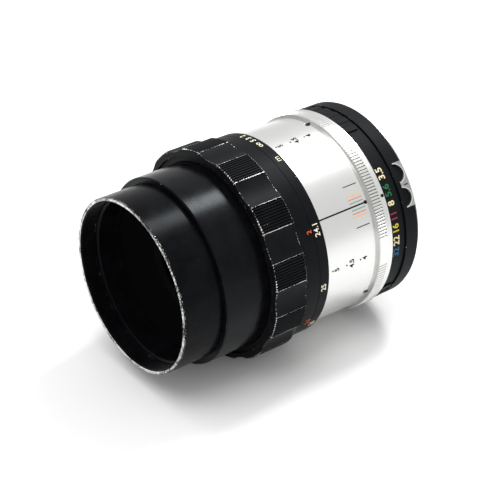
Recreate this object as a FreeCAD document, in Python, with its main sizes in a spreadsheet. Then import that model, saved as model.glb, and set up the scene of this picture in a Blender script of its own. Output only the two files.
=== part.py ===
import FreeCAD, Part
import math
import os
import re
import Sketcher

# A prime camera lens with a double helicoid, drawn racked out to its closest focus.
# Millimetres. The optical axis is Y, the front of the lens looks along -Y and the camera body
# is on the +Y side. The origin is on the axis, in the plane of the mount's flange seat.
# The lens lies on its side, with its index line up and to the right, as it rests on a table.

doc = FreeCAD.newDocument("prime_lens")

SIZES = {
    # bayonet mount
    "flange_seat": 0.0, "flange_edge_r": 30.2, "flange_body_r": 29.0, "flange_inner_face": -1.6,
    "flange_lip_face": -0.95, "seat_inner_r": 23.7, "seat_relief": -0.4, "bayonet_r": 21.9,
    "bayonet_bore_r": 20.5, "bayonet_back": 5.6, "lug_r": 23.4, "lug_front": 2.6, "lug_back": 4.0,
    "lug_angle": 58.0, "mount_screw_circle": 26.6, "screw_head_r": 1.45, "screw_shank_r": 0.7,
    "screw_tip": -3.0, "screw_head_depth": 0.9, "screw_slot": 0.4, "screw_slot_depth": 0.35,
    # fixed housing and chrome scale sleeve
    "housing_r": 29.24, "housing_wall_r": 27.9, "housing_back_bore_r": 22.4,
    "housing_floor": -3.2, "housing_shoulder": -13.0, "housing_ledge": -11.75,
    "housing_front": -19.0, "housing_rim_r": 30.15, "helicoid_bore_r": 29.75,
    "sleeve_front": -38.0, "sleeve_r": 30.5, "sleeve_back": -11.69, "sleeve_back_r": 31.71,
    "flare_start": -18.1, "milled_r": 31.62, "milled_front": -16.45, "milled_back": -13.1,
    "milled_depth": 0.3, "milled_pitch": 1.75, "milled_group": 72.0, "milled_angle": 54.7,
    "milled_start": 27.5, "set_screw_y": -17.75, "set_screw_r": 0.8, "set_screw_top": 30.48,
    # straight keys that let the front barrel slide without turning
    "key_inner_r": 25.0, "key_outer_r": 26.5, "key_front": -38.0, "key_foot_r": 27.6,
    "key_foot_y": -4.4, "key_angle": 9.0, "key_slot_angle": 9.8, "key_slot_r": 26.6,
    # aperture ring, metering prong, fork and its two link screws
    "ring_front": -11.65, "ring_back": -1.0, "ring_bore_r": 29.3, "ring_scale_r": 30.75,
    "ring_r": 31.25, "ring_back_r": 31.08, "ring_groove_front": -6.15, "ring_groove_back": -5.75,
    "ring_groove_r": 30.45, "grip_pad_r": 31.3, "grip_pad_back": -6.7, "grip_pad_angle": 76.0,
    "scallop_pitch": 8.0, "scallop_r": 1.8, "scallop_depth": 0.45,
    "prong_r": 31.55, "prong_floor_r": 30.8, "prong_front": -4.45, "prong_angle": 25.4,
    "prong_arch_r": 2.9, "prong_arch_side": 3.75, "prong_arch_y": -4.75, "prong_slot": 0.35,
    "prong_slot_front": -3.3, "prong_slot_back": -1.9, "prong_slot_side": -0.25,
    "fork_ring_r": 24.8, "fork_ring_bore_r": 22.5, "fork_ring_front": -5.8, "fork_ring_back": -3.4,
    "fork_bar_r": 24.7, "fork_bar_inner_r": 23.9, "fork_bar_front": -41.5, "fork_bar_angle": 8.0,
    "link_y": -4.6, "link_r": 0.5, "link_head_r": 0.95, "link_head_floor": 30.1,
    "link_top": 30.9, "link_bottom": 23.3, "link_spread": 12.0, "link_slot_angle": 67.0,
    "link_slot_half": 0.75, "link_slot_lead": 13.5,
    # stop-down lever
    "lever_ring_r": 22.3, "lever_ring_bore_r": 20.6, "lever_front": -3.1, "lever_back": -1.7,
    "lever_tab_r": 20.3, "lever_tab_inner_r": 19.2, "lever_tab_back": 4.2, "lever_tab_angle": 7.0,
    # focusing ring: coupling ring, middle helicoid, grip and distance scale
    "coupling_r": 29.6, "coupling_bore_r": 27.95, "coupling_front": -14.4,
    "coupling_back": -13.05, "drive_key_r": 29.55, "drive_key_inner_r": 28.95,
    "drive_key_front": -34.5, "drive_key_angle": 8.0, "drive_slot_angle": 8.8,
    "drive_slot_floor": 28.88, "drive_slot_front": -50.2, "middle_r": 29.65,
    "middle_front": -55.6, "middle_flange_r": 30.8, "middle_flange_back": -54.2,
    "middle_front_bore_r": 28.95, "middle_step": -43.2, "middle_bore_r": 27.7,
    "middle_back": -30.0, "grip_r": 33.0, "grip_front": -56.4, "grip_back": -45.05,
    "grip_edge": 0.45, "grip_bore_r": 30.8, "skirt_bore_r": 30.65, "spigot_r": 31.2,
    "spigot_front": -49.0, "valley_cutter_r": 14.5, "valley_depth": 1.0, "lobes": 12,
    "ridge_pitch": 1.45, "ridge_depth": 0.38, "hill_angle": 14.5, "hill_start": 8.7,
    "scale_r": 31.66, "scale_back": -36.06, "scale_line_y": -39.6, "scale_line_depth": 0.12,
    # moving barrel
    "rim_y": -84.26, "tube_r": 26.95, "rim_bevel": 0.5, "thread_minor_r": 25.6,
    "thread_major_r": 26.0, "thread_pitch": 0.75, "thread_start": -83.7, "tube_step_y": -78.6,
    "tube_bore_r": 24.9, "tube_lip_r": 24.0, "tube_lip_front": -72.0, "tube_lip_back": -71.0,
    "tube_shoulder": -71.25, "tube_spigot_r": 26.2, "tube_back": -67.5, "barrel_r": 28.8,
    "barrel_front": -71.0, "barrel_back": -55.6, "barrel_seat": -66.2, "helicoid_seat_r": 27.0,
    "inner_r": 27.6, "inner_bore_r": 25.9, "inner_back": -34.0, "inner_flange": -55.5,
    "helix_pitch": 1.6, "helix_depth": 0.25, "helix_start": -48.0,
    "cone_back_r": 23.6, "cone_flange_back": -69.4, "cone_neck_r": 13.8, "cone_front_r": 15.0,
    "cone_floor": -64.6, "name_front": -65.4, "name_bore_r": 11.4, "cone_neck_back": -56.5,
    # optical cells
    "front_cell_r": 12.6, "front_cell_front": -60.0, "front_cell_bore_r": 10.6,
    "front_cell_flange_r": 14.6, "front_cell_flange": -49.0, "cell_stop_r": 9.6,
    "cell_stop_y": -47.6, "retainer_back": -59.1, "rear_cell_r": 11.8, "rear_cell_bore_r": 9.4,
    "rear_cell_stop_r": 8.6, "rear_cell_stop_y": -37.8, "rear_cell_flange_back": -38.3,
    "rear_cell_back": -28.0, "rear_retainer_front": -28.9, "rear_retainer_bore_r": 8.5,
    # iris
    "web_front": -46.0, "web_back": -44.0, "iris_port_r": 8.4, "cup_r": 18.2,
    "cup_bore_r": 16.9, "cup_back": -39.5, "cover_front": -40.3, "cover_bore_r": 9.6,
    "cam_front": -41.5, "cam_back": -40.5, "cam_r": 16.7, "cam_bore_r": 13.3,
    "cam_lever_r": 23.6, "cam_finger_r": 25.2, "cam_finger_angle": 3.0, "cam_gap_angle": 9.0,
    "cam_slot_width": 0.95, "blade_count": 6, "blade_first": -43.75, "blade_pitch": 0.3,
    "blade_thickness": 0.15, "blade_inner_r": 8.7, "blade_outer_r": 12.6, "blade_angle": 126.0,
    "blade_pivot_r": 14.2, "blade_stud_angle": 8.9, "blade_pin_r": 0.38, "blade_rest": 7.17,
    # angles round the axis from straight up, and the travel of the aperture ring
    "index_angle": 57.5, "fork_angle": 237.5, "prong_centre": 56.2, "opening_turn": 10.0,
    "closing_turn": 37.0,
}

LENS_ELEMENTS = {
    # node: (rim radius, front vertex, front curvature radius, rear vertex, rear curvature radius)
    "lens_element_1": (10.5, -58.9, 21.5, -55.2, 70.0),
    "lens_element_2": (9.5, -54.6, 17.0, -51.6, 90.0),
    "lens_element_3": (9.5, -51.6, 90.0, -50.3, 13.5),
    "lens_element_4": (9.3, -34.5, -15.5, -33.1, -60.0),
    "lens_element_5": (9.3, -32.4, -90.0, -29.4, -24.0),
}


def make_sheet(sizes):
    """A spreadsheet with one named cell for each driving size."""
    sheet = doc.addObject("Spreadsheet::Sheet", "Sizes")
    for row, (name, value) in enumerate(sizes.items(), start=1):
        sheet.set(f"A{row}", name)
        sheet.set(f"B{row}", str(value))
        sheet.setAlias(f"B{row}", name)
    doc.recompute()
    return sheet


def linked(text):
    """The expression with each size's name pointing at its cell."""
    return re.sub(r"[a-z]+(?:_[a-z]+)+|lobes", r"Sizes.\g<0>", text)


def plane_of(body, role):
    """One of the body's own origin planes or axes."""
    return next(item for item in body.Origin.OriginFeatures if item.Role == role)


def new_body(label, turn=None):
    """A body named after its node, turned about the optical axis by an angle from the sheet."""
    body = doc.addObject("PartDesign::Body", label)
    body.Label = label
    body.AllowCompound = True
    if turn is not None:
        body.Placement.Rotation = FreeCAD.Rotation(FreeCAD.Vector(0, 1, 0), 1)
        body.setExpression("Placement.Rotation.Angle", linked(turn))
    return body


def new_sketch(body, role, lift="0", shift="0"):
    """A sketch on one of the body's origin planes, lifted along its normal, shifted sideways."""
    sketch = body.newObject("Sketcher::SketchObject", body.Name + "_sketch")
    sketch.AttachmentSupport = (plane_of(body, role), [""])
    sketch.MapMode = "FlatFace"
    sketch.setExpression("AttachmentOffset.Base.z", linked(lift))
    sketch.setExpression("AttachmentOffset.Base.x", linked(shift))
    return sketch


def pin_point(sketch, line, across, up):
    """Hold the start of a line at two distances from the sketch's origin."""
    for kind, text in (("DistanceX", across), ("DistanceY", up)):
        number = sketch.addConstraint(Sketcher.Constraint(kind, -1, 1, line, 1, 1.0))
        sketch.setExpression(f"Constraints[{number}]", linked(text))


def draw_outline(sketch, points):
    """A closed outline of straight lines whose corners are all bound to the sheet."""
    count = len(points)
    first = sketch.GeometryCount
    ring = [FreeCAD.Vector(math.cos(math.tau * i / count), math.sin(math.tau * i / count), 0)
            for i in range(count)]
    for i in range(count):
        sketch.addGeometry(Part.LineSegment(ring[i], ring[(i + 1) % count]))
    for i in range(count):
        join = Sketcher.Constraint("Coincident", first + i, 2, first + (i + 1) % count, 1)
        sketch.addConstraint(join)
    for i, (across, up) in enumerate(points):
        pin_point(sketch, first + i, across, up)


def draw_circle(sketch, across, up, radius):
    """A circle with its centre and radius bound to the sheet."""
    number = sketch.addGeometry(Part.Circle(FreeCAD.Vector(1, 1, 0), FreeCAD.Vector(0, 0, 1), 1))
    for kind, text in (("DistanceX", across), ("DistanceY", up)):
        place = sketch.addConstraint(Sketcher.Constraint(kind, -1, 1, number, 3, 1.0))
        sketch.setExpression(f"Constraints[{place}]", linked(text))
    size = sketch.addConstraint(Sketcher.Constraint("Radius", number, 1.0))
    sketch.setExpression(f"Constraints[{size}]", linked(radius))


def spin(body, points, kind="Revolution", angle="360", shift="0"):
    """Revolve or groove an outline of (radius, place along the axis) pairs about its own axis."""
    sketch = new_sketch(body, "XY_Plane", shift=shift)
    draw_outline(sketch, points)
    doc.recompute()
    feature = body.newObject("PartDesign::" + kind, body.Name + "_" + kind.lower())
    feature.Profile = sketch
    feature.ReferenceAxis = (sketch, ["V_Axis"])
    feature.Midplane = angle != "360"
    feature.setExpression("Angle", linked(angle))
    body.Tip = feature
    doc.recompute()
    return feature


def band(inner, outer, front, back):
    """The rectangle between two radii and two places along the axis."""
    return [(inner, front), (outer, front), (outer, back), (inner, back)]


def extrude(body, sketch, kind, length):
    """Pad or pocket a sketch towards +Y from an XZ sketch, or towards the axis from others."""
    feature = body.newObject("PartDesign::" + kind, body.Name + "_" + kind.lower())
    feature.Profile = sketch
    feature.Reversed = kind == "Pad"
    feature.setExpression("Length", linked(length))
    body.Tip = feature
    doc.recompute()
    return feature


def repeat(body, feature, count, span=None):
    """Copies of a feature evenly round the optical axis, over the whole turn or over a span."""
    pattern = body.newObject("PartDesign::PolarPattern", body.Name + "_pattern")
    pattern.Originals = [feature]
    pattern.Axis = (plane_of(body, "Y_Axis"), [""])
    pattern.Angle = 360 if span is None else span
    pattern.setExpression("Occurrences", linked(count))
    body.Tip = pattern
    doc.recompute()
    return pattern


def repeat_groups(body, feature, pitch, count, groups):
    """Copies of a feature in equal groups: a short fan of copies, then the fan round the axis."""
    fan = body.newObject("PartDesign::PolarPattern", body.Name + "_fan")
    turn = body.newObject("PartDesign::PolarPattern", body.Name + "_turn")
    for pattern in (fan, turn):
        pattern.Axis = (plane_of(body, "Y_Axis"), [""])
    fan.Angle = pitch * (count - 1)
    fan.Occurrences = count
    turn.Angle = 360
    turn.Occurrences = groups
    both = body.newObject("PartDesign::MultiTransform", body.Name + "_groups")
    both.Originals = [feature]
    both.Transformations = [fan, turn]
    body.Tip = both
    doc.recompute()
    return both


def notch(body, radius, depth, angle, front, length):
    """A small V groove along the axis, cut in a round surface at an angle from straight up."""
    sketch = new_sketch(body, "XZ_Plane", lift=f"-({front})")
    half = depth * 0.95
    top = sheet_value(radius) + 0.1
    floor = sheet_value(radius) - depth
    corners = [(-half, top), (half, top), (0, floor)]
    turned = [(across * math.cos(angle) + up * math.sin(angle),
               up * math.cos(angle) - across * math.sin(angle)) for across, up in corners]
    draw_outline(sketch, [(str(across), str(up)) for across, up in turned])
    doc.recompute()
    return extrude(body, sketch, "Pocket", length)


def sheet_value(name):
    """A size read from the sheet."""
    return float(doc.Sizes.get(name))


def ridges(minor, major, start, pitch, count):
    """Points of a row of V ridges between two radii, running from the front to the back."""
    points = []
    for i in range(count):
        points.append((minor, f"{start} + {i} * {pitch}"))
        points.append((major, f"{start} + {i + 0.3} * {pitch}"))
        points.append((minor, f"{start} + {i + 0.6} * {pitch}"))
    points.append((minor, f"{start} + {count} * {pitch}"))
    return points


def make_mount_flange():
    """The bayonet: a flange with a flat seat, a short tube and three lugs."""
    body = new_body("mount_flange")
    spin(body, [("bayonet_bore_r", "flange_inner_face"), ("flange_body_r", "flange_inner_face"),
                ("flange_body_r", "flange_lip_face"), ("flange_edge_r", "flange_lip_face"),
                ("flange_edge_r", "flange_seat"), ("seat_inner_r", "flange_seat"),
                ("seat_inner_r", "seat_relief"), ("bayonet_r", "seat_relief"),
                ("bayonet_r", "bayonet_back"), ("bayonet_bore_r", "bayonet_back")])
    lug = spin(body, band("bayonet_r - 0.2", "lug_r", "lug_front", "lug_back"), angle="lug_angle")
    repeat(body, lug, "3")
    hole = spin(body, screw_outline("0.05"), kind="Groove", shift="mount_screw_circle")
    repeat(body, hole, "5")
    return body


def screw_outline(play):
    """Half of a countersunk screw: flat head just under the seat, cone, shank."""
    return [("0", "screw_tip"), (f"screw_shank_r + {play}", "screw_tip"),
            (f"screw_shank_r + {play}", "seat_relief * 0.2 - screw_head_depth"),
            (f"screw_head_r + {play}", "seat_relief * 0.2"),
            (f"screw_head_r + {play}", f"seat_relief * 0.2 + {play} * 2"),
            ("0", f"seat_relief * 0.2 + {play} * 2")]


def make_mount_screws():
    """Five countersunk screws that hold the flange on the housing."""
    body = new_body("mount_screws")
    outline = [("0", "screw_tip"), ("screw_shank_r", "screw_tip"),
               ("screw_shank_r", "seat_relief * 0.2 - screw_head_depth"),
               ("screw_head_r", "seat_relief * 0.2"), ("0", "seat_relief * 0.2")]
    screw = spin(body, outline, shift="mount_screw_circle")
    repeat(body, screw, "5")
    sketch = new_sketch(body, "XZ_Plane", lift="-(seat_relief * 0.2 - screw_slot_depth)")
    sides = ("mount_screw_circle - screw_head_r - 0.2", "mount_screw_circle + screw_head_r + 0.2")
    draw_outline(sketch, [(sides[0], "-screw_slot / 2"), (sides[1], "-screw_slot / 2"),
                          (sides[1], "screw_slot / 2"), (sides[0], "screw_slot / 2")])
    doc.recompute()
    slot = extrude(body, sketch, "Pocket", "screw_slot_depth + 0.2")
    repeat(body, slot, "5")
    return body


def make_rear_housing():
    """The fixed housing behind the chrome sleeve, with the slot for the aperture links."""
    body = new_body("rear_housing", turn="fork_angle - 90 - link_slot_lead")
    spin(body, [("housing_back_bore_r", "housing_floor"), ("housing_wall_r", "housing_floor"),
                ("housing_wall_r", "housing_shoulder"), ("helicoid_bore_r", "housing_shoulder"),
                ("helicoid_bore_r", "housing_front"), ("housing_rim_r", "housing_front"),
                ("housing_rim_r", "housing_ledge"), ("housing_r", "housing_ledge"),
                ("housing_r", "flange_inner_face"), ("housing_back_bore_r", "flange_inner_face")])
    spin(body, band("housing_wall_r - 0.6", "housing_r + 0.3", "link_y - link_slot_half",
                    "link_y + link_slot_half"), kind="Groove", angle="link_slot_angle")
    return body


def cut_housing_screw_holes(body):
    """Clear the housing's floor for the flange screws, which keep the frame's own angles."""
    tool = new_body("housing_screw_tool")
    outline = band("0", "screw_shank_r + 0.05", "screw_tip - 0.5", "flange_inner_face + 0.2")
    hole = spin(tool, outline, shift="mount_screw_circle")
    repeat(tool, hole, "5")
    cut = doc.addObject("Part::Cut", "rear_housing_cut")
    cut.Base = body
    cut.Tool = tool
    body.Label = "rear_housing_turned"
    cut.Label = "rear_housing"
    doc.recompute()
    return cut


def make_scale_sleeve():
    """The chrome sleeve with the depth scale, its concave flare and the milled ring."""
    body = new_body("scale_sleeve", turn="index_angle - 60")
    flare = [("sleeve_r", "flare_start"), ("sleeve_r + 0.07", "flare_start + 0.4"),
             ("sleeve_r + 0.25", "flare_start + 0.85"), ("sleeve_r + 0.55", "flare_start + 1.25"),
             ("milled_r - 0.12", "milled_front"), ("milled_r", "milled_front + 0.12")]
    spin(body, [("helicoid_bore_r", "sleeve_front"), ("sleeve_r - 0.15", "sleeve_front"),
                ("sleeve_r", "sleeve_front + 0.2")] + flare
         + [("milled_r", "milled_back"), ("milled_r - 0.28", "milled_back + 0.12"),
            ("sleeve_back_r", "sleeve_back - 0.35"), ("sleeve_back_r", "sleeve_back"),
            ("housing_rim_r", "sleeve_back"), ("housing_rim_r", "housing_front"),
            ("helicoid_bore_r", "housing_front")])
    start = math.radians(sheet_value("milled_start"))
    groove = notch(body, "milled_r", sheet_value("milled_depth"), start,
                   "milled_front - 0.3", "milled_back - milled_front")
    pitch = sheet_value("milled_pitch")
    count = int(sheet_value("milled_angle") / pitch) + 1
    repeat_groups(body, groove, pitch, count, round(360 / sheet_value("milled_group")))
    hole = new_sketch(body, "XY_Plane", lift="sleeve_back_r + 1")
    draw_circle(hole, "0", "set_screw_y", "set_screw_r + 0.03")
    doc.recompute()
    drilled = extrude(body, hole, "Pocket", "sleeve_back_r - housing_rim_r + 1.2")
    repeat(body, drilled, "3")
    return body


def make_sleeve_set_screws():
    """Three small grub screws that clamp the sleeve to the housing."""
    body = new_body("sleeve_set_screws", turn="index_angle - 60")
    sketch = new_sketch(body, "XY_Plane", lift="set_screw_top")
    draw_circle(sketch, "0", "set_screw_y", "set_screw_r")
    doc.recompute()
    screw = extrude(body, sketch, "Pad", "set_screw_top - housing_rim_r")
    repeat(body, screw, "3")
    return body


def make_focus_guide_keys():
    """Two straight keys from the housing floor that run in the inner helicoid's slots."""
    body = new_body("focus_guide_keys", turn="index_angle")
    key = spin(body, [("key_inner_r", "key_front"), ("key_outer_r", "key_front"),
                      ("key_outer_r", "key_foot_y"), ("key_foot_r", "key_foot_y"),
                      ("key_foot_r", "housing_floor"), ("key_inner_r", "housing_floor")],
               angle="key_angle")
    repeat(body, key, "2")
    return body


def make_aperture_ring():
    """The black aperture ring, with two raised grips, the prong's seat and two link holes."""
    body = new_body("aperture_ring", turn="prong_centre - 90")
    spin(body, [("ring_bore_r", "ring_front"), ("ring_scale_r", "ring_front"),
                ("ring_scale_r", "ring_groove_front"), ("ring_groove_r", "ring_groove_front"),
                ("ring_groove_r", "ring_groove_back"), ("ring_r", "ring_groove_back"),
                ("ring_r", "ring_back - 0.4"), ("ring_back_r", "ring_back"),
                ("ring_bore_r", "ring_back")])
    spin(body, band("prong_floor_r", "prong_r + 0.2", "prong_front - 0.05", "ring_back + 0.1"),
         kind="Groove", angle="prong_angle + 0.4")
    return body


def cut_scallops(pads):
    """Round hollows across the two raised grips, in a row on each."""
    pitch = sheet_value("scallop_pitch")
    count = int(sheet_value("grip_pad_angle") / pitch)
    start = math.radians(90 - pitch * (count - 1) / 2)
    reach = sheet_value("grip_pad_r") - sheet_value("scallop_depth") + sheet_value("scallop_r")
    sketch = new_sketch(pads, "XZ_Plane", lift="-(ring_front - 1)")
    draw_circle(sketch, str(reach * math.sin(start)), str(reach * math.cos(start)), "scallop_r")
    doc.recompute()
    hollow = extrude(pads, sketch, "Pocket", "grip_pad_back - ring_front + 2")
    repeat_groups(pads, hollow, pitch, count, 2)


def finish_aperture_ring(ring):
    """Add the raised grips beside the scale and drill the ring for its two link screws."""
    pads = new_body("aperture_grip_pads", turn="index_angle - 41 - grip_pad_angle / 2 - 90")
    pad = spin(pads, band("ring_scale_r - 0.2", "grip_pad_r", "ring_front", "grip_pad_back"),
               angle="grip_pad_angle")
    repeat(pads, pad, "2")
    cut_scallops(pads)
    holes = link_screws("aperture_link_holes", "0.04")
    joined = doc.addObject("Part::Fuse", "aperture_ring_joined")
    joined.Base = ring
    joined.Tool = pads
    cut = doc.addObject("Part::Cut", "aperture_ring_cut")
    cut.Base = joined
    cut.Tool = holes
    ring.Label = "aperture_ring_turned"
    cut.Label = "aperture_ring"
    doc.recompute()
    return cut


def link_screws(label, play):
    """Two radial screws that carry the aperture ring's turn to the fork inside.
    With some play they are a tool for their own holes, which starts clear of the ring."""
    body = new_body(label, turn="fork_angle - link_spread / 2")
    for radius, top, bottom in (("link_r", "link_top", "link_bottom"),
                                ("link_head_r", "link_top", "link_head_floor")):
        raised = f"{top} + {play} * 12"
        sketch = new_sketch(body, "XY_Plane", lift=raised)
        draw_circle(sketch, "0", "link_y", f"{radius} + {play}")
        doc.recompute()
        pad = extrude(body, sketch, "Pad", f"{raised} - {bottom}")
        pattern = repeat(body, pad, "2", span=sheet_value("link_spread"))
    return body


def make_meter_prong():
    """The silver metering prong: two arches side by side with a slotted nub between them."""
    body = new_body("meter_prong", turn="prong_centre - 90")
    spin(body, band("prong_floor_r", "prong_r", "prong_front", "ring_back"), angle="prong_angle")
    sketch = new_sketch(body, "YZ_Plane", lift="prong_r + 1")
    for side in ("prong_arch_side", "-prong_arch_side"):
        draw_circle(sketch, "prong_arch_y", side, "prong_arch_r")
    low, high = "prong_slot_side - prong_slot / 2", "prong_slot_side + prong_slot / 2"
    draw_outline(sketch, [("prong_slot_front", low), ("prong_slot_back", low),
                          ("prong_slot_back", high), ("prong_slot_front", high)])
    doc.recompute()
    extrude(body, sketch, "Pocket", "5")
    return body


def make_aperture_fork():
    """The ring inside the housing and its long bar, which works the iris at any focus."""
    body = new_body("aperture_fork_ring", turn="fork_angle - 90")
    spin(body, band("fork_ring_bore_r", "fork_ring_r", "fork_ring_front", "fork_ring_back"))
    spin(body, band("fork_bar_inner_r", "fork_bar_r", "fork_bar_front", "fork_ring_front + 0.5"),
         angle="fork_bar_angle")
    cut = doc.addObject("Part::Cut", "aperture_fork")
    cut.Base = body
    cut.Tool = link_screws("fork_link_holes", "0.04")
    cut.Label = "aperture_fork"
    doc.recompute()
    return cut


def make_stop_down_lever():
    """A light ring in the housing floor with a tab that reaches back through the bayonet."""
    body = new_body("stop_down_lever", turn="index_angle + 90")
    spin(body, band("lever_ring_bore_r", "lever_ring_r", "lever_front", "lever_back"))
    spin(body, band("lever_tab_inner_r", "lever_ring_bore_r + 0.3", "lever_front", "lever_back"),
         angle="lever_tab_angle")
    spin(body, band("lever_tab_inner_r", "lever_tab_r", "lever_front", "lever_tab_back"),
         angle="lever_tab_angle")
    return body


def make_focus_coupling_ring():
    """The ring that turns with the focusing ring but stays put, and its two drive keys."""
    body = new_body("focus_coupling_ring")
    spin(body, band("coupling_bore_r", "coupling_r", "coupling_front", "coupling_back"))
    key = spin(body, band("drive_key_inner_r", "drive_key_r", "drive_key_front",
                          "coupling_front + 0.3"), angle="drive_key_angle")
    repeat(body, key, "2")
    return body


def make_middle_helicoid():
    """The threaded tube under the focusing ring, slotted for the coupling ring's keys."""
    body = new_body("middle_helicoid")
    spin(body, [("middle_front_bore_r", "middle_front"), ("middle_flange_r", "middle_front"),
                ("middle_flange_r", "middle_flange_back"), ("middle_r", "middle_flange_back"),
                ("middle_r", "middle_back"), ("middle_bore_r", "middle_back"),
                ("middle_bore_r", "middle_step"), ("middle_front_bore_r", "middle_step")])
    slot = spin(body, band("drive_slot_floor", "middle_r + 0.2", "drive_slot_front",
                           "middle_back + 0.5"), kind="Groove", angle="drive_slot_angle")
    repeat(body, slot, "2")
    return body


def make_focus_grip_ring():
    """The scalloped grip: twelve ridged hills with plain hollows between them."""
    body = new_body("focus_grip_ring", turn="hill_start")
    spin(body, [("grip_bore_r", "grip_front"), ("grip_r - grip_edge", "grip_front"),
                ("grip_r", "grip_front + grip_edge"), ("grip_r", "grip_back - grip_edge"),
                ("grip_r - grip_edge", "grip_back"), ("spigot_r", "grip_back"),
                ("spigot_r", "spigot_front"), ("skirt_bore_r", "spigot_front"),
                ("skirt_bore_r", "middle_flange_back"), ("grip_bore_r", "middle_flange_back")])
    lobes = int(sheet_value("lobes"))
    hollow = math.radians(sheet_value("hill_angle") + (360 / lobes - sheet_value("hill_angle")) / 2)
    reach = sheet_value("grip_r") - sheet_value("valley_depth") + sheet_value("valley_cutter_r")
    sketch = new_sketch(body, "XZ_Plane", lift="-(grip_front - 1)")
    draw_circle(sketch, str(reach * math.sin(hollow)), str(reach * math.cos(hollow)),
                "valley_cutter_r")
    doc.recompute()
    valley = extrude(body, sketch, "Pocket", "grip_back - grip_front + 2")
    repeat(body, valley, "lobes")
    pitch = sheet_value("ridge_pitch")
    count = int(sheet_value("hill_angle") / pitch)
    start = math.radians((sheet_value("hill_angle") - pitch * (count - 1)) / 2)
    groove = notch(body, "grip_r", sheet_value("ridge_depth"), start, "grip_front - 0.5",
                   "grip_back - grip_front + 1")
    repeat_groups(body, groove, pitch, count, lobes)
    return body


def make_distance_scale_ring():
    """The black ring behind the grip that carries the distances, with a fine line round it."""
    body = new_body("distance_scale_ring")
    spin(body, [("skirt_bore_r", "spigot_front"), ("spigot_r", "spigot_front"),
                ("spigot_r", "grip_back"), ("scale_r", "grip_back"),
                ("scale_r", "scale_line_y - 0.12"), ("scale_r - scale_line_depth", "scale_line_y"),
                ("scale_r", "scale_line_y + 0.12"), ("scale_r", "scale_back - 0.25"),
                ("scale_r - 0.2", "scale_back"), ("skirt_bore_r", "scale_back")])
    return body


def make_front_tube():
    """The slim front tube, threaded inside its rim for a filter."""
    body = new_body("front_tube")
    count = 6
    thread = ridges("thread_minor_r", "thread_major_r", "thread_start", "thread_pitch", count)
    spin(body, [("tube_r - 0.25", "rim_y"), ("tube_r", "rim_y + 0.25"),
                ("tube_r", "tube_shoulder"), ("tube_spigot_r", "tube_shoulder"),
                ("tube_spigot_r", "tube_back"), ("tube_bore_r", "tube_back"),
                ("tube_bore_r", "tube_lip_back"), ("tube_lip_r", "tube_lip_back"),
                ("tube_lip_r", "tube_lip_front"), ("tube_bore_r", "tube_lip_front"),
                ("tube_bore_r", "tube_step_y + 0.4"), ("thread_minor_r", "tube_step_y")]
         + thread[::-1] + [("thread_minor_r + rim_bevel", "rim_y")])
    return body


def make_barrel_sleeve():
    """The wider tube behind the front tube, which slides into the focusing ring."""
    body = new_body("barrel_sleeve")
    spin(body, [("tube_spigot_r", "barrel_front"), ("barrel_r - 0.3", "barrel_front"),
                ("barrel_r", "barrel_front + 0.3"), ("barrel_r", "barrel_back"),
                ("helicoid_seat_r", "barrel_back"), ("helicoid_seat_r", "barrel_seat"),
                ("tube_spigot_r", "barrel_seat")])
    return body


def make_inner_helicoid():
    """The innermost threaded tube, slotted inside for the straight keys."""
    body = new_body("inner_helicoid", turn="index_angle")
    threads = ridges("inner_r", "inner_r - helix_depth", "helix_start", "helix_pitch", 8)
    spin(body, [("inner_bore_r", "barrel_seat"), ("helicoid_seat_r", "barrel_seat"),
                ("helicoid_seat_r", "inner_flange"), ("inner_r", "inner_flange")]
         + threads + [("inner_r", "inner_back"), ("inner_bore_r", "inner_back")])
    slot = spin(body, band("inner_bore_r - 0.5", "key_slot_r", "barrel_seat - 0.5",
                           "inner_back + 0.5"), kind="Groove", angle="key_slot_angle")
    repeat(body, slot, "2")
    return body


def make_front_baffle():
    """The black cone that shades the deep-set front element."""
    body = new_body("front_baffle")
    spin(body, [("tube_lip_r", "tube_lip_back"), ("tube_bore_r", "tube_lip_back"),
                ("tube_bore_r", "cone_flange_back"), ("cone_back_r", "cone_flange_back"),
                ("cone_front_r + 0.8", "cone_floor + 1.4"), ("cone_neck_r", "cone_floor + 2.6"),
                ("cone_neck_r", "cone_neck_back"), ("front_cell_r", "cone_neck_back"),
                ("front_cell_r", "front_cell_front"), ("name_bore_r", "front_cell_front"),
                ("name_bore_r", "cone_floor"), ("cone_front_r", "cone_floor"),
                ("cone_front_r", "name_front")])
    return body


def make_plain_rings():
    """The turned rings whose sections are plain rectangles."""
    rings = {
        "name_ring": ("name_bore_r", "cone_front_r", "name_front", "cone_floor"),
        "front_retaining_ring": ("cell_stop_r", "front_cell_bore_r", "front_cell_front",
                                 "retainer_back"),
        "rear_retaining_ring": ("rear_retainer_bore_r", "rear_cell_bore_r",
                                "rear_retainer_front", "rear_cell_back"),
        "iris_cover": ("cover_bore_r", "cup_bore_r", "cover_front", "cup_back"),
    }
    made = []
    for label, sides in rings.items():
        body = new_body(label)
        spin(body, band(*sides))
        made.append(body)
    return made


def make_front_cell():
    """The cell that holds the three front elements."""
    body = new_body("front_cell")
    spin(body, [("front_cell_bore_r", "front_cell_front"), ("front_cell_r", "front_cell_front"),
                ("front_cell_r", "front_cell_flange"),
                ("front_cell_flange_r", "front_cell_flange"),
                ("front_cell_flange_r", "web_front"), ("cell_stop_r", "web_front"),
                ("cell_stop_r", "cell_stop_y"), ("front_cell_bore_r", "cell_stop_y")])
    return body


def make_rear_cell():
    """The cell that holds the two rear elements and closes the back of the iris."""
    body = new_body("rear_cell")
    spin(body, [("rear_cell_stop_r", "cup_back"), ("cup_r", "cup_back"),
                ("cup_r", "rear_cell_flange_back"), ("rear_cell_r", "rear_cell_flange_back"),
                ("rear_cell_r", "rear_cell_back"), ("rear_cell_bore_r", "rear_cell_back"),
                ("rear_cell_bore_r", "rear_cell_stop_y"),
                ("rear_cell_stop_r", "rear_cell_stop_y")])
    return body


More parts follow.
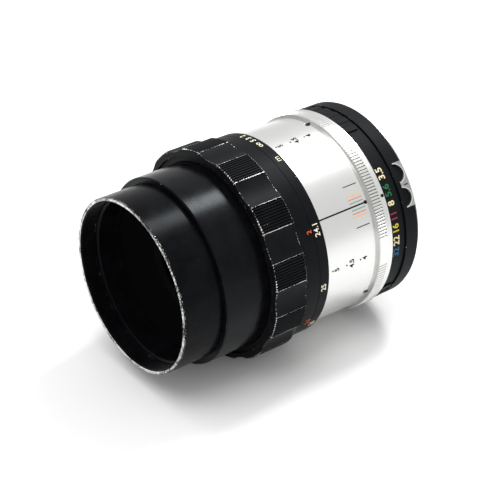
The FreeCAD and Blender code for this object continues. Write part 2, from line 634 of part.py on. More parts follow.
def sphere(label, centre, radius):
    """A ball on the optical axis."""
    ball = doc.addObject("Part::Sphere", label)
    ball.Radius = radius
    ball.Placement.Base = FreeCAD.Vector(0, centre, 0)
    return ball


def shaped_by(label, kind, base, tool):
    """A boolean of two objects."""
    result = doc.addObject(kind, label)
    result.Base = base
    result.Tool = tool
    return result


def make_lens_element(label, rim, front, front_radius, back, back_radius):
    """A glass element: a disc whose two faces are cut by spheres."""
    margin = 6
    disc = doc.addObject("Part::Cylinder", label + "_disc")
    disc.Radius = rim
    disc.Height = back - front + 2 * margin
    disc.Placement = FreeCAD.Placement(FreeCAD.Vector(0, front - margin, 0),
                                       FreeCAD.Rotation(FreeCAD.Vector(1, 0, 0), -90))
    ball = sphere(label + "_front", front + front_radius, abs(front_radius))
    kind = "Part::Common" if front_radius > 0 else "Part::Cut"
    faced = shaped_by(label + "_faced", kind, disc, ball)
    ball = sphere(label + "_back", back + back_radius, abs(back_radius))
    kind = "Part::Common" if back_radius < 0 else "Part::Cut"
    element = shaped_by(label, kind, faced, ball)
    element.Label = label
    doc.recompute()
    return element


def make_iris_housing():
    """The web inside the inner helicoid, with the cup that holds the iris."""
    body = new_body("iris_housing_turned", turn="fork_angle - 90 - link_slot_lead")
    spin(body, [("iris_port_r", "web_front"), ("inner_bore_r", "web_front"),
                ("inner_bore_r", "web_back"), ("cup_r", "web_back"), ("cup_r", "cup_back"),
                ("cup_bore_r", "cup_back"), ("cup_bore_r", "web_back"),
                ("iris_port_r", "web_back")])
    spin(body, band("cup_bore_r - 0.3", "cup_r + 0.3", "cam_front - 0.15", "cam_back + 0.15"),
         kind="Groove", angle="link_slot_angle")
    spin(body, band("fork_bar_inner_r - 0.2", "fork_bar_r + 0.2", "web_front - 0.5",
                    "web_back + 0.5"), kind="Groove", angle="link_slot_angle")
    keys = new_body("web_key_tool", turn="index_angle")
    notch_cut = spin(keys, band("key_inner_r - 0.12", "inner_bore_r + 1", "web_front - 0.5",
                                "web_back + 0.5"), angle="key_slot_angle")
    repeat(keys, notch_cut, "2")
    pins = new_body("web_pivot_tool", turn="fork_angle")
    pin = spin(pins, band("0", "blade_pin_r + 0.04", "web_back - 1.1", "web_back + 0.5"),
               shift="blade_pivot_r")
    repeat(pins, pin, "blade_count")
    notched = shaped_by("iris_housing_notched", "Part::Cut", body, keys)
    housing = shaped_by("iris_housing", "Part::Cut", notched, pins)
    housing.Label = "iris_housing"
    doc.recompute()
    return housing


def blade_stud(turn):
    """Where a blade's stud is, beside its pivot on +X, when the blade is turned inwards."""
    reach = sheet_value("blade_pivot_r")
    lean = math.radians(sheet_value("blade_stud_angle"))
    across = reach * math.cos(lean) - reach
    up = reach * math.sin(lean)
    return (reach + across * math.cos(turn) + up * math.sin(turn),
            up * math.cos(turn) - across * math.sin(turn))


def cam_point(share, side):
    """A point on one edge of a cam slot. The share runs from wide open to fully closed."""
    whole = sheet_value("opening_turn") + sheet_value("closing_turn")
    blade = sheet_value("blade_rest") / sheet_value("opening_turn") * whole
    middles = []
    for place in (share - 0.01, share, share + 0.01):
        x, z = blade_stud(math.radians(blade * place))
        ring = math.radians(sheet_value("opening_turn") - whole * place)
        middles.append((x * math.cos(ring) - z * math.sin(ring),
                        x * math.sin(ring) + z * math.cos(ring)))
    along = (middles[2][0] - middles[0][0], middles[2][1] - middles[0][1])
    size = math.hypot(*along)
    half = side * sheet_value("cam_slot_width") / 2
    return FreeCAD.Vector(middles[1][0] - half * along[1] / size, sheet_value("cam_front") - 0.5,
                          middles[1][1] + half * along[0] / size)


def cam_slot():
    """One curved slot of the cam ring, as a solid to cut with."""
    steps = [i / 8 for i in range(9)]
    edges = []
    for side in (1, -1):
        curve = Part.BSplineCurve()
        curve.interpolate([cam_point(share, side) for share in steps])
        edges.append(curve.toShape())
    ends = ((0, -0.042), (1, 1.042))
    for share, beyond in ends:
        cap = Part.Arc(cam_point(share, 1), cam_point(beyond, 0), cam_point(share, -1))
        edges.append(cap.toShape())
    wire = Part.Wire(Part.__sortEdges__(edges))
    return Part.Face(wire).extrude(FreeCAD.Vector(0, 2, 0))


def sector(inner, outer, front, back, centre, angle):
    """A piece of a ring, centred on an angle from straight up."""
    radii = (sheet_value(inner), sheet_value(outer))
    depth = sheet_value(back) - sheet_value(front)
    start = FreeCAD.Vector(0, sheet_value(front), 0)
    axis = FreeCAD.Vector(0, 1, 0)
    solids = [Part.makeCylinder(radius, depth, start, axis, angle) for radius in radii]
    piece = solids[1].cut(solids[0]).Solids[0]
    middle = piece.CenterOfMass
    now = math.degrees(math.atan2(middle.x, middle.z)) if angle < 360 else centre
    piece.rotate(FreeCAD.Vector(0, 0, 0), axis, centre - now)
    return piece


def make_iris_drive_ring():
    """The cam ring: six curved slots for the blades' studs and a forked lever for the bar."""
    shape = sector("cam_bore_r", "cam_r", "cam_front", "cam_back", 0, 360)
    fork = sheet_value("fork_angle")
    arm = sector("cam_bore_r", "cam_lever_r", "cam_front", "cam_back", fork, 15)
    inner = sector("cam_bore_r", "cam_r", "cam_front", "cam_back", fork, 20)
    shape = shape.fuse(arm.cut(inner))
    step = (sheet_value("cam_gap_angle") + sheet_value("cam_finger_angle")) / 2
    for side in (-1, 1):
        finger = sector("cam_lever_r", "cam_finger_r", "cam_front", "cam_back",
                        fork + side * step, sheet_value("cam_finger_angle"))
        shape = shape.fuse(finger)
    count = int(sheet_value("blade_count"))
    for i in range(count):
        slot = cam_slot()
        turn = sheet_value("fork_angle") + i * 360 / count
        slot.rotate(FreeCAD.Vector(0, 0, 0), FreeCAD.Vector(0, 1, 0), turn)
        shape = shape.cut(slot)
    ring = doc.addObject("Part::Feature", "iris_drive_ring")
    ring.Shape = shape.removeSplitter()
    ring.Label = "iris_drive_ring"
    return ring


def make_iris_blade(number):
    """One thin blade: a curved leaf with an ear, a pivot pin and a stud for the cam slot."""
    name = f"iris_blade_{number + 1}"
    body = new_body(name)
    face = f"blade_first + {number} * blade_pitch"
    back = f"blade_first + {number} * blade_pitch + blade_thickness"
    leaf = spin(body, band("blade_inner_r", "blade_outer_r", face, back), angle="blade_angle")
    leaf.Midplane = False
    leaf.Reversed = False
    doc.recompute()
    ear = new_sketch(body, "XZ_Plane", lift=f"-({face})")
    draw_outline(ear, [("blade_outer_r - 2", "-1.1"), ("blade_pivot_r + 0.3", "-1.0"),
                       ("blade_pivot_r + 0.8", "0"), ("blade_pivot_r + 0.6", "2.6"),
                       ("blade_pivot_r - 0.4", "3.1"), ("blade_pivot_r - 1.0", "2.2"),
                       ("blade_outer_r - 0.2", "0.6"), ("blade_outer_r - 2", "0.4")])
    doc.recompute()
    extrude(body, ear, "Pad", "blade_thickness")
    reach = sheet_value("blade_pivot_r")
    lean = math.radians(sheet_value("blade_stud_angle"))
    pins = ((reach, 0.0, "web_back - 1.0", back),
            (reach * math.cos(lean), reach * math.sin(lean), face, "cam_back - 0.2"))
    for across, up, front, end in pins:
        pin = new_sketch(body, "XZ_Plane", lift=f"-({front})")
        draw_circle(pin, str(across), str(up), "blade_pin_r")
        doc.recompute()
        extrude(body, pin, "Pad", f"({end}) - ({front})")
    axis = FreeCAD.Vector(0, 1, 0)
    inward = FreeCAD.Placement(FreeCAD.Vector(0, 0, 0),
                               FreeCAD.Rotation(axis, sheet_value("blade_rest")),
                               FreeCAD.Vector(reach, 0, 0))
    place = sheet_value("fork_angle") + number * 360 / sheet_value("blade_count")
    body.Placement = FreeCAD.Placement(FreeCAD.Vector(0, 0, 0),
                                       FreeCAD.Rotation(axis, place)).multiply(inward)
    return body


def check(objects):
    """Stop if any object failed or any sub-part's shape is empty or broken."""
    doc.recompute()
    for item in doc.Objects:
        if "Invalid" in item.State or "Error" in item.State:
            raise RuntimeError(f"{item.Label} failed: {item.State}")
    for item in objects:
        if item.Shape.isNull() or not item.Shape.isValid() or not item.Shape.Solids:
            raise RuntimeError(f"{item.Label} has no valid shape")
        print(f"{item.Label:24s} solids {len(item.Shape.Solids):3d}  "
              f"volume {item.Shape.Volume:9.1f}  faces {len(item.Shape.Faces)}")


def build():
    """Make every sub-part in order, from the mount to the iris blades."""
    parts = [make_mount_flange(), make_mount_screws(),
             cut_housing_screw_holes(make_rear_housing()), make_scale_sleeve(),
             make_sleeve_set_screws(), make_focus_guide_keys(),
             finish_aperture_ring(make_aperture_ring()), make_meter_prong(),
             make_aperture_fork(), link_screws("aperture_link_screws", "0"),
             make_stop_down_lever(), make_focus_coupling_ring(), make_middle_helicoid(),
             make_focus_grip_ring(), make_distance_scale_ring(), make_front_tube(),
             make_barrel_sleeve(), make_inner_helicoid(), make_front_baffle(),
             make_front_cell(), make_rear_cell(), make_iris_housing(), make_iris_drive_ring()]
    parts += make_plain_rings()
    parts += [make_lens_element(label, *shape) for label, shape in LENS_ELEMENTS.items()]
    parts += [make_iris_blade(number) for number in range(int(SIZES["blade_count"]))]
    return parts


make_sheet(SIZES)
PARTS = build()
check(PARTS)
os.makedirs("parts", exist_ok=True)
for part in PARTS:
    part.Shape.exportStep(f"parts/{part.Label}.step")
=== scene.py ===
import math
import bpy
import numpy as np
from mathutils import Matrix, Vector


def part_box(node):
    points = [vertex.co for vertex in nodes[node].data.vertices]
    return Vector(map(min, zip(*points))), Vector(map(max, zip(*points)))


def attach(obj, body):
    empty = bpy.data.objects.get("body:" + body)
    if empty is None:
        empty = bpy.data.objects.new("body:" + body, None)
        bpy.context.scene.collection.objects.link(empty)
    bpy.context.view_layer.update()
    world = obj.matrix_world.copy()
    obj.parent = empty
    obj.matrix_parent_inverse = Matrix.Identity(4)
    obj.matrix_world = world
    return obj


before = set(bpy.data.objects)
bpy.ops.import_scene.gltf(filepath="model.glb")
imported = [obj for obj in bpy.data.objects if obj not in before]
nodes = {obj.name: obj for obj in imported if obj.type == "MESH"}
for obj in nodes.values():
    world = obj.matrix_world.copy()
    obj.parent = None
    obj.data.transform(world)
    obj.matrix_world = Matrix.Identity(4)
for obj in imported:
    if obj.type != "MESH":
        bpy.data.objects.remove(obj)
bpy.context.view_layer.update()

MM = 0.001

# Table and light. The lens lies on its side on a white sweep, racked out, on the hills of the
# focusing ring. A small key light stands behind and above it, a wide panel hangs overhead, and
# the room is bright all round.
table_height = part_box("focus_grip_ring")[0].z
camera_azimuth, camera_elevation, camera_distance = 52.17, 31.87, 0.52647
aim = Vector((-0.0127, -0.0307, -0.0141))


def looking(azimuth, elevation):
    """The unit vector from the object towards a viewer. Azimuth 0 stands in front, on -Y."""
    turn, lift = math.radians(azimuth), math.radians(elevation)
    return Vector((math.sin(turn) * math.cos(lift), -math.cos(turn) * math.cos(lift),
                   math.sin(lift)))


def facing(place, target):
    """The matrix of a camera or a lamp at a place, looking at a target with its head up."""
    back = (place - target).normalized()
    right = Vector((0, 0, 1)).cross(back).normalized()
    turn = Matrix((right, back.cross(right), back)).transposed()
    return Matrix.Translation(place) @ turn.to_4x4()


camera = bpy.data.objects.new("camera", bpy.data.cameras.new("camera"))
camera.data.lens = 121.28
camera.data.sensor_width = 36.0
camera.data.clip_start = 0.01
camera.matrix_world = facing(aim + looking(camera_azimuth, camera_elevation) * camera_distance, aim)
bpy.context.scene.collection.objects.link(camera)
bpy.context.scene.camera = camera
bpy.context.scene.view_settings.view_transform = "Standard"


def soft_light(name, azimuth, elevation, distance, size, power):
    """A square panel of light that faces the object."""
    data = bpy.data.lights.new(name, "AREA")
    data.shape = "SQUARE"
    data.size = size
    data.energy = power
    lamp = bpy.data.objects.new(name, data)
    lamp.matrix_world = facing(aim + looking(azimuth, elevation) * distance, aim)
    bpy.context.scene.collection.objects.link(lamp)


soft_light("rear_key", -168, 59, 0.8, 0.2, 4.0)
soft_light("overhead", 10, 72, 1.0, 0.8, 5.0)
world = bpy.data.worlds.new("studio")
world.use_nodes = True
world.node_tree.nodes["Background"].inputs["Color"].default_value = (1, 1, 1, 1)
world.node_tree.nodes["Background"].inputs["Strength"].default_value = 0.90
bpy.context.scene.world = world


class Value:
    """A number flowing in a shader, so that maths on it reads as plain Python."""

    def __init__(self, finish, socket):
        self.finish = finish
        self.socket = socket

    def maths(self, operation, *others):
        return self.finish.add("ShaderNodeMath", {"operation": operation},
                               dict(enumerate((self,) + others)))

    def __add__(self, other):
        return self.maths("ADD", other)

    __radd__ = __add__

    def __sub__(self, other):
        return self.maths("SUBTRACT", other)

    def __rsub__(self, other):
        return (self * -1) + other

    def __mul__(self, other):
        return self.maths("MULTIPLY", other)

    __rmul__ = __mul__

    def __truediv__(self, other):
        return self.maths("DIVIDE", other)

    def __abs__(self):
        return self.maths("ABSOLUTE")

    def within(self, low, high):
        return self.maths("MAXIMUM", low).maths("MINIMUM", high)

    def rise(self, low, high):
        """0 below the low value, 1 above the high one, smooth between."""
        return self.finish.add("ShaderNodeMapRange", {"interpolation_type": "SMOOTHSTEP"},
                               {"Value": self, "From Min": low, "From Max": high})


class Finish:
    """A material being put together. Lengths in its maths are millimetres."""

    def __init__(self, name, **plain):
        self.material = bpy.data.materials.new(name)
        self.material.use_nodes = True
        self.tree = self.material.node_tree
        self.shader = self.tree.nodes["Principled BSDF"]
        self.set(**plain)
        self.places = self.tree.nodes.new("ShaderNodeTexCoord").outputs["Object"]

    def set(self, **inputs):
        """Constants and links for the shader: Base_Color means its Base Color socket."""
        self.fill(self.shader, {name.replace("_", " "): what for name, what in inputs.items()})

    def fill(self, node, inputs):
        for name, what in inputs.items():
            if isinstance(what, Value):
                self.tree.links.new(what.socket, node.inputs[name])
            elif isinstance(what, bpy.types.NodeSocket):
                self.tree.links.new(what, node.inputs[name])
            else:
                node.inputs[name].default_value = what

    def add(self, kind, settings, inputs):
        """A node of any type with its settings, then the values or links of its sockets."""
        node = self.tree.nodes.new(kind)
        for name, what in settings.items():
            setattr(node, name, what)
        self.fill(node, inputs)
        return Value(self, node.outputs[0])

    def axes(self):
        """The place on the object as three numbers in millimetres."""
        scaled = self.add("ShaderNodeVectorMath", {"operation": "SCALE"},
                          {0: self.places, "Scale": 1000.0})
        parts = self.tree.nodes.new("ShaderNodeSeparateXYZ")
        self.tree.links.new(scaled.socket, parts.inputs[0])
        return [Value(self, parts.outputs[i]) for i in range(3)]

    def round_the_axis(self):
        """Angle from straight up in degrees, place along the axis, and radius."""
        x, y, z = self.axes()
        turn = x.maths("ARCTAN2", z) * (180 / math.pi)
        return turn, y, (x * x + z * z).maths("SQRT")

    def noise(self, scale, detail=3.0, stretch=(1, 1, 1)):
        """Cloudy noise about 0.5, with its scale in cycles per millimetre."""
        spread = self.add("ShaderNodeVectorMath", {"operation": "MULTIPLY"},
                          {0: self.places, 1: [1000 * way for way in stretch]})
        return self.add("ShaderNodeTexNoise", {},
                        {"Vector": spread, "Scale": scale, "Detail": detail, "Roughness": 0.55})

    def turned(self, scale, stretch=40.0):
        """Fine noise drawn out round the axis, as a lathe or a polishing mop leaves it."""
        turn, along, radius = self.round_the_axis()
        place = self.add("ShaderNodeCombineXYZ", {}, {0: turn / stretch, 1: along, 2: radius})
        return self.add("ShaderNodeTexNoise", {},
                        {"Vector": place, "Scale": scale, "Detail": 4.0, "Roughness": 0.6})

    def blend(self, share, low, high):
        """A colour between two colours."""
        node = self.tree.nodes.new("ShaderNodeMix")
        node.data_type = "RGBA"
        self.fill(node, {0: share})
        for socket, what in ((node.inputs[6], low), (node.inputs[7], high)):
            if isinstance(what, Value):
                self.tree.links.new(what.socket, socket)
            else:
                socket.default_value = (*what, 1.0)
        return Value(self, node.outputs[2])

    def bump(self, height, depth):
        """Relief of a depth in millimetres."""
        return self.add("ShaderNodeBump", {},
                        {"Height": height, "Distance": depth * MM, "Strength": 1.0})


def surface(name, grid, material):
    """A mesh over a grid of points of shape (rows, columns, 3)."""
    rows, columns = grid.shape[:2]
    index = np.arange(rows * columns).reshape(rows, columns)
    quads = np.stack((index[:-1, :-1], index[:-1, 1:], index[1:, 1:], index[1:, :-1]), axis=-1)
    mesh = bpy.data.meshes.new(name)
    mesh.from_pydata(grid.reshape(-1, 3).tolist(), [], quads.reshape(-1, 4).tolist())
    mesh.polygons.foreach_set("use_smooth", np.ones(len(mesh.polygons), bool))
    mesh.update()
    piece = bpy.data.objects.new(name, mesh)
    bpy.context.scene.collection.objects.link(piece)
    mesh.materials.append(material)
    return piece


floor_half, floor_gap = 3.0, 0.00005
across = np.linspace(-floor_half, floor_half, 2)
floor_grid = np.stack(np.meshgrid(across, across, [table_height - floor_gap], indexing="xy"),
                      axis=-1)[:, :, 0, :]
paper = Finish("white_paper", Roughness=0.9, Specular_IOR_Level=0.1)
paper.set(Base_Color=paper.blend(paper.noise(0.02), (0.84, 0.84, 0.84), (0.86, 0.86, 0.86)))
surface("white_floor", floor_grid, material=paper.material)


# Bayonet mount. A turned steel flange with a flat seat and three lugs, its five countersunk
# screws, and the stop-down lever whose tab reaches back through the bore.
def metal(name, colour, roughness, grain=6.0):
    """Turned metal: lathe lines round the axis and a little uneven polish."""
    finish = Finish(name, Metallic=1.0)
    lines = finish.turned(grain)
    cloud = finish.noise(0.25)
    shade = finish.blend(cloud.rise(0.3, 0.7), [0.88 * part for part in colour], colour)
    finish.set(Base_Color=shade, Roughness=(lines - 0.5) * 0.15 + (cloud - 0.5) * 0.12 + roughness,
               Normal=finish.bump(lines, 0.004))
    return finish.material


def wear(node, material):
    """Give a CAD node its material."""
    slots = nodes[node].data.materials
    slots.clear()
    slots.append(material)


steel = Finish("mount_steel", Metallic=1.0)
seat_middle = 26.2
_, along, radius = steel.round_the_axis()
lathe, cloud = steel.turned(7.0), steel.noise(0.2, detail=5.0)
seat = along.rise(-0.05, -0.01) * (1 - along.rise(0.02, 0.1))
rub = (1 - abs(radius - seat_middle).rise(0.3, 3.0)) * cloud.rise(0.3, 0.7) * seat
scored = steel.noise(1.4, detail=2.0, stretch=(1, 1, 0.1)).rise(0.62, 0.7) * 0.35
steel.set(Base_Color=steel.blend((rub * 0.4 + scored).within(0.0, 1.0), (0.36, 0.354, 0.343),
                                 (0.50, 0.492, 0.478)),
          Roughness=(lathe - 0.5) * 0.2 + (cloud - 0.5) * 0.15 + rub * -0.08 + 0.33,
          Normal=steel.bump(lathe + scored * -0.5, 0.004))
wear("mount_flange", steel.material)
wear("mount_screws", metal("screw_steel", (0.36, 0.355, 0.35), 0.3, grain=3.0))
wear("stop_down_lever", metal("lever_steel", (0.57, 0.56, 0.54), 0.35))

# Guide keys, coupling ring and aperture fork. Brass and steel inside, seen only from the back.
wear("focus_guide_keys", metal("key_steel", (0.5, 0.49, 0.47), 0.4))
wear("focus_coupling_ring", metal("coupling_brass", (0.6, 0.45, 0.24), 0.36))
wear("aperture_fork", metal("fork_brass", (0.58, 0.44, 0.24), 0.38))

# Scale sleeve. Brass under satin chrome, with a concave flare up to a milled ring, held by
# three black grub screws. Lines for depth of field and two short scales are filled with paint.
index_angle = 57.5
groove_place = -17.0
satin = Finish("satin_chrome", Metallic=1.0)
brushing = satin.turned(5.0, stretch=60.0)
handling = satin.noise(0.12, detail=4.0)
_, along, radius = satin.round_the_axis()
# Painted shade: the chrome colour is darkened, unevenly, across the concave flare at the groove,
# and in the valleys between the milled ribs.
painted_groove_shade = 1 - abs(along - groove_place).rise(0.35, 0.8)
painted_groove_shade = painted_groove_shade * (handling.rise(0.3, 0.7) * 0.3 + 0.5)
milled = along.rise(-16.6, -16.3) * (1 - along.rise(-13.1, -12.9))
painted_rib_shade = (1 - radius.rise(31.36, 31.56)) * milled
satin.set(Base_Color=satin.blend(painted_groove_shade.maths("MAXIMUM", painted_rib_shade * 0.8), (0.69, 0.69, 0.678),
                                 (0.25, 0.246, 0.228)),
          Roughness=(brushing - 0.5) * 0.1 + (handling - 0.5) * 0.08 + 0.32,
          Normal=satin.bump(brushing, 0.0015))
wear("scale_sleeve", satin.material)
wear("sleeve_set_screws", metal("black_grub_screw", (0.03, 0.03, 0.03), 0.4))


def ink(name, colour):
    """Paint filled into an engraving, a little thin and uneven."""
    finish = Finish(name, Specular_IOR_Level=0.1)
    patchy = finish.noise(2.5, detail=2.0).rise(0.35, 0.6)
    finish.set(Base_Color=finish.blend(patchy, [0.75 * part for part in colour], colour),
               Roughness=patchy * 0.15 + 0.45)
    return finish.material


def patch(angles, along, radius):
    """Corners of a small panel on a cylinder: its angle and its place along the axis."""
    turn = np.radians(np.linspace(*angles, 3))[None, :]
    place = np.linspace(*along, 2)[:, None]
    return np.stack(np.broadcast_arrays(radius * np.sin(turn), place, radius * np.cos(turn)),
                    axis=-1) * MM


def marks(name, panels, material, body):
    """One piece made of several small panels, all facing outwards."""
    parts = []
    for number, panel in enumerate(panels):
        parts.append(surface(f"{name}_{number}", panel[::-1], material))
    with bpy.context.temp_override(active_object=parts[0], selected_editable_objects=parts,
                                   selected_objects=parts, object=parts[0]):
        bpy.ops.object.join()
    whole = parts[0]
    whole.name = name
    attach(whole, body)


def dot(angle, along, radius, size):
    """A round dot on a cylinder, as rings of points about its middle."""
    ring = np.linspace(0, math.tau, 20)
    reach = np.array([0.001, 0.5, 1.0])[:, None] * size
    turn = math.radians(angle) + reach * np.cos(ring) / radius
    place = along + reach * np.sin(ring)
    return np.stack((radius * np.sin(turn), place, radius * np.cos(turn)), axis=-1) * MM


lift = 0.05
sleeve_radius = 30.5 + lift
milled_radius = 31.71 + lift
black_ink = ink("black_ink", (0.004, 0.004, 0.004))


def line_at(angle, width=0.26, ends=(-23.5, -18.5)):
    """A line along the sleeve, of a width in millimetres."""
    half = math.degrees(width / 2 / sleeve_radius)
    return patch((angle - half, angle + half), ends, sleeve_radius)


marks("index_line", [line_at(index_angle, 0.46, (-37.6, -18.2)),
                     dot(index_angle, -17.95, sleeve_radius + 0.1, 0.55)], black_ink, "mount")
depth_lines = {"black": (11.8, (0.02, 0.02, 0.02)), "yellow": (5.9, (0.78, 0.42, 0.10)),
               "red": (4.0, (0.66, 0.16, 0.10)), "green": (2.0, (0.10, 0.28, 0.20))}
for name, (apart, colour) in depth_lines.items():
    marks(f"depth_lines_{name}", [line_at(index_angle - apart), line_at(index_angle + apart)],
          ink(f"{name}_ink", colour), "mount")
marks("aperture_index_dot", [dot(index_angle, -12.3, milled_radius, 0.5)], black_ink, "mount")


def lettering(name, text, angle, along, height, radius, material, body, weight=0.03):
    """Engraved figures bent round a cylinder. Their tops point to the front of the lens.
    A point (u, v) of the flat text goes to the angle less u / radius and to along - v."""
    curve = bpy.data.curves.new(name, "FONT")
    curve.body = text
    curve.size = height / 0.7
    curve.align_x = "CENTER"
    curve.align_y = "CENTER"
    curve.resolution_u = 3
    curve.offset = weight * height
    flat = bpy.data.objects.new(name, curve)
    bpy.context.scene.collection.objects.link(flat)
    mesh = bpy.data.meshes.new_from_object(flat)
    bpy.data.objects.remove(flat)
    flat_places = np.zeros(len(mesh.vertices) * 3)
    mesh.vertices.foreach_get("co", flat_places)
    u, v, _ = flat_places.reshape(-1, 3).T
    turn = math.radians(angle) - u / radius
    bent = np.stack((radius * np.sin(turn), along - v, radius * np.cos(turn)), axis=-1) * MM
    mesh.vertices.foreach_set("co", bent.ravel())
    mesh.materials.clear()
    mesh.materials.append(material)
    mesh.update()
    piece = bpy.data.objects.new(name, mesh)
    bpy.context.scene.collection.objects.link(piece)
    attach(piece, body)


compensation_size = 1.65
for side, angle in (("right", 88.2), ("left", 7.0)):
    for text, along in (("5", -32.2), ("4.5", -26.5), ("4", -21.5)):
        lettering(f"compensation_{side}_{text}", text, angle, along, compensation_size,
                  sleeve_radius, black_ink, "mount")
    marks(f"compensation_dots_{side}", [dot(angle, along, sleeve_radius, 0.27)
                                        for along in (-33.8, -28.5, -23.2)], black_ink, "mount")


# Aperture ring. Black enamel on alloy, with a groove between its scale and its grip. Figures
# are filled with the colours of the depth lines, and the metering prong sits in a cut-out.
def black_enamel(name, edges=(), extra=None, roughness=0.26, gloss=0.08):
    """Satin black enamel, dusty and finely scratched, worn through to bright metal on edges.
    Each edge is a place along the axis, a radius, how far the wear reaches and how strong."""
    finish = Finish(name, Specular_IOR_Level=gloss, Specular_Tint=(0.84, 0.94, 1.0, 1.0))
    turn, along, radius = finish.round_the_axis()
    cloud = finish.noise(0.18, detail=5.0)
    speck = finish.noise(2.2, detail=3.0)
    worn = speck * 0.0
    for place, rim, width, strength in edges:
        away = abs(along - place) + abs(radius - rim)
        worn = worn.maths("MAXIMUM", (1 - away / width) * strength)
    if extra is not None:
        worn = worn.maths("MAXIMUM", extra(turn, along, radius))
    bare = (worn + (speck - 0.5) * 1.1 + (cloud - 0.5) * 0.9).rise(0.5, 0.62)
    scratch = finish.noise(0.9, detail=2.0, stretch=(1, 0.12, 1)).rise(0.68, 0.74) * 0.03
    dust = finish.noise(5.0, detail=1.0).rise(0.70, 0.76) * 0.10
    black = finish.blend(cloud.rise(0.3, 0.7), (0.0020, 0.0020, 0.0026), (0.0040, 0.0041, 0.0050))
    greyed = finish.blend(scratch + dust, black, (0.11, 0.11, 0.11))
    finish.set(Base_Color=finish.blend(bare, greyed, (0.80, 0.79, 0.76)), Metallic=bare * 0.9,
               Roughness=(cloud - 0.5) * 0.16 + (speck - 0.5) * 0.1 + bare * -0.05 + roughness,
               Normal=finish.bump(finish.noise(6.0, detail=2.0) + bare * -1.5, 0.006))
    return finish.material


def pad_wear(_, along, radius):
    """Wear on the tops of the raised, scalloped pads in front of the groove."""
    return radius.rise(31.22, 31.3) * (1 - along.rise(-6.9, -6.7)) * 0.17


wear("aperture_ring", black_enamel(
    "aperture_enamel", roughness=0.6, gloss=0.12, extra=pad_wear,
    edges=[(-1.0, 31.08, 0.35, 0.55), (-5.75, 31.25, 0.2, 0.4), (-11.65, 30.75, 0.3, 0.45)]))
wear("aperture_link_screws", metal("link_screw", (0.05, 0.05, 0.05), 0.4))
prong_centre, prong_radius = 56.2, 31.5
arch_side, arch_place, arch_radius = 3.75, -4.75, 2.9
nickel = Finish("prong_nickel", Metallic=1.0)
turn, along, _ = nickel.round_the_axis()
side = abs(turn - prong_centre) * math.radians(prong_radius) - arch_side
from_arch = (side * side + (along - arch_place) * (along - arch_place)).maths("SQRT") - arch_radius
tarnish = nickel.noise(0.7, detail=4.0)
# Painted highlight: the nickel is lighter along the arch edges and the rear edge of the prong, in
# place of light on its bevels. The tarnish noise varies it.
painted_edge_highlight = (1 - from_arch.rise(0.15, 0.5)).maths("MAXIMUM", along.rise(-1.45, -1.2))
bright = (painted_edge_highlight + (tarnish - 0.5) * 0.7).within(0.0, 1.0)
nickel.set(Base_Color=nickel.blend(bright, (0.37, 0.37, 0.362), (0.72, 0.72, 0.704)),
           Roughness=(tarnish - 0.5) * 0.2 + 0.34, Normal=nickel.bump(tarnish, 0.004))
wear("meter_prong", nickel.material)
stop_step, stop_offset = 7.4, -1.4
stop_row, stop_size = -9.25, 2.25
scale_radius = 30.75 + lift
cream = ink("cream_ink", (0.80, 0.70, 0.42))
stops = (("3.5", -10.0 / stop_step, cream), ("5.6", 0, ink("stop_green_ink", (0.02, 0.14, 0.055))),
         ("8", 1, cream), ("11", 2, ink("stop_red_ink", (0.27, 0.035, 0.05))),
         ("16", 3, ink("stop_yellow_ink", (0.58, 0.52, 0.04))), ("22", 4, cream),
         ("32", 5, ink("stop_blue_ink", (0.025, 0.12, 0.22))))
for text, place, paint in stops:
    lettering(f"stop_{text}", text, index_angle + stop_offset + place * stop_step, stop_row,
              stop_size, scale_radius, paint, "aperture")

# Focusing ring. Black enamel: twelve milled hills worn bright on their edges, and a plain scale
# ring behind them with distances in white and reproduction ratios in orange.
hills, hill_start, hill_width, ridge_pitch = 12, 8.7, 14.5, 1.45
grip_middle, grip_half = -50.725, 5.4


def hill_wear(turn, along, radius):
    """Wear on the hills: their two sides, their ends and the tops of the ridges."""
    phase = ((turn - hill_start) / (360 / hills)).maths("FRACT") * (360 / hills)
    side = abs(phase).maths("MINIMUM", abs(phase - hill_width))
    on_hill = 1 - abs(phase - hill_width / 2).rise(hill_width / 2, hill_width / 2 + 0.8)
    high = radius.rise(32.72, 32.9)
    ridge = 1 - abs(((phase - 1.0) / ridge_pitch).maths("FRACT") - 0.5).rise(0.15, 0.4)
    sides = (1 - side / 0.31) * 0.71
    from_middle = abs(along - grip_middle)
    ends = (1 - abs(from_middle - grip_half) / 0.3) * 0.7 * on_hill * (ridge * 0.5 + 0.5)
    rims = (1 - abs(from_middle - grip_half - 0.02) / 0.2) * 0.5
    return (sides.maths("MAXIMUM", ends) * radius.rise(32.2, 32.5)).maths(
        "MAXIMUM", high * on_hill * ridge * 0.16).maths("MAXIMUM", rims)


wear("focus_grip_ring", black_enamel("grip_enamel", extra=hill_wear, roughness=0.5,
                                     edges=[(-56.4, 30.8, 0.2, 0.4)]))
wear("distance_scale_ring", black_enamel("scale_enamel", roughness=0.5,
                                         edges=[(-36.06, 31.5, 0.3, 0.42)]))
focus_turn, focus_travel = 305.0, 27.5
near_focus, focus_gap = 49.9, 23.1
white_ink = ink("white_ink", (0.80, 0.75, 0.58))
orange_ink = ink("orange_ink", (0.60, 0.09, 0.03))
scale_surface = 31.66 + lift


def extension_for(distance):
    """The travel that focuses a distance: distance = (focal + travel)^2 / travel + gap."""
    half = (distance - focus_gap) / 2 - near_focus
    return half - math.sqrt(half * half - near_focus * near_focus)


def scale_angle(extension):
    """Where a value stands on the scale ring while the lens is racked out."""
    return index_angle + (focus_travel - extension) / focus_travel * focus_turn


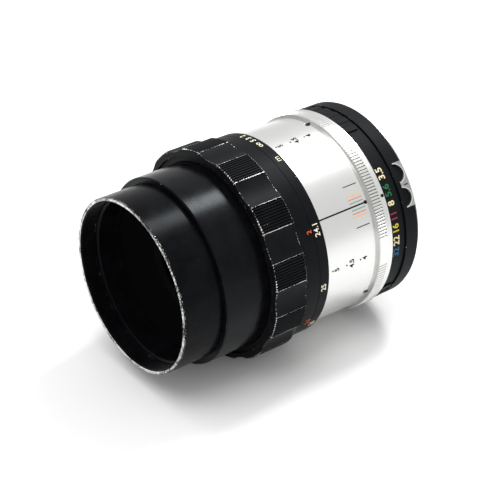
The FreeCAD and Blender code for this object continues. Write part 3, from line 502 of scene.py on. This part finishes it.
first_offset = 3.3
distance_row, distance_size = -38.05, 1.75
ratio_row, ratio_size = -40.7, 1.6
unit_angle, focal_length = 17.2, 55
distances = (("25", 250), ("26", 260), ("27", 270), ("28", 280), ("30", 300), ("33", 330),
             ("36", 360), ("40", 400), ("50", 500), ("70", 700), ("1", 1000), ("2", 2000),
             ("3", 3000), ("5", 5000))
lettering("distance_24.1", "24.1", index_angle + first_offset, distance_row, distance_size,
          scale_surface, white_ink, "focus", weight=0.02)
lettering("distance_unit", "m", unit_angle, -37.75, 2.0, scale_surface, white_ink, "focus",
          weight=0.0)
for text, distance in distances:
    lettering(f"distance_{text}", text, scale_angle(extension_for(distance)), distance_row,
              distance_size, scale_surface, white_ink, "focus")
lettering("distance_far", "∞", scale_angle(0), distance_row, 2.1, scale_surface, white_ink,
          "focus", weight=0.01)
lettering("ratio_2", "2", index_angle + first_offset, ratio_row, ratio_size, scale_surface,
          orange_ink, "focus")
for text, ratio in (("2.5", 2.5), ("3", 3), ("4", 4), ("5", 5), ("10", 10)):
    lettering(f"ratio_{text}", text, scale_angle(focal_length / ratio), ratio_row, ratio_size,
              scale_surface, orange_ink, "focus")

# Front barrel. Two black tubes that slide without turning; the slim one is threaded for a
# filter and its rim is worn to bare metal. A ribbed black cone inside shades the glass.
wear("front_tube", black_enamel("front_tube_enamel", gloss=0.045, edges=[
    (-84.2, 26.1, 0.45, 0.88), (-84.26, 26.45, 0.5, 0.70), (-84.2, 26.76, 0.3, 0.72),
    (-83.9, 26.95, 0.22, 0.55), (-79.2, 25.6, 0.3, 0.4)]))
wear("barrel_sleeve", black_enamel("barrel_enamel", roughness=0.235, edges=[
    (-71.0, 28.65, 0.4, 0.42)]))
wear("inner_helicoid", metal("helicoid_alloy", (0.45, 0.45, 0.44), 0.4))


def blackened(name, colour=0.006, roughness=0.5, gloss=0.07):
    """Matt black anodising over turned metal."""
    finish = Finish(name, Specular_IOR_Level=gloss)
    lines = finish.turned(3.0)
    cloud = finish.noise(0.3)
    low, high = (colour * 0.7,) * 3, (colour * 1.2,) * 3
    finish.set(Base_Color=finish.blend(cloud.rise(0.3, 0.7), low, high),
               Roughness=(lines - 0.5) * 0.15 + roughness, Normal=finish.bump(lines, 0.01))
    return finish.material


wear("front_baffle", blackened("cone_black", 0.0012, 0.6, gloss=0.02))
wear("name_ring", blackened("name_ring_black", 0.003, 0.5, gloss=0.04))
for node in ("rear_housing", "middle_helicoid", "front_cell", "rear_cell",
             "front_retaining_ring", "rear_retaining_ring", "iris_housing", "iris_cover"):
    wear(node, blackened(f"{node}_black"))


# Glass. Five elements of clear glass with a thin purple and amber coating.
glass = Finish("coated_glass", Transmission_Weight=1.0, IOR=1.6, Roughness=0.0,
               Base_Color=(0.93, 0.96, 0.97, 1.0), Coat_Weight=0.12, Coat_Roughness=0.02,
               Coat_Tint=(0.68, 0.56, 0.82, 1.0), Coat_IOR=1.7)
element_count = 5
for number in range(1, element_count + 1):
    wear(f"lens_element_{number}", glass.material)

# Iris. Six blued spring-steel blades between the housing and a slotted cam ring.
blued = metal("blued_steel", (0.09, 0.09, 0.11), 0.35, grain=2.0)
wear("iris_drive_ring", blued)
blade_count = 6
for number in range(1, blade_count + 1):
    wear(f"iris_blade_{number}", blued)
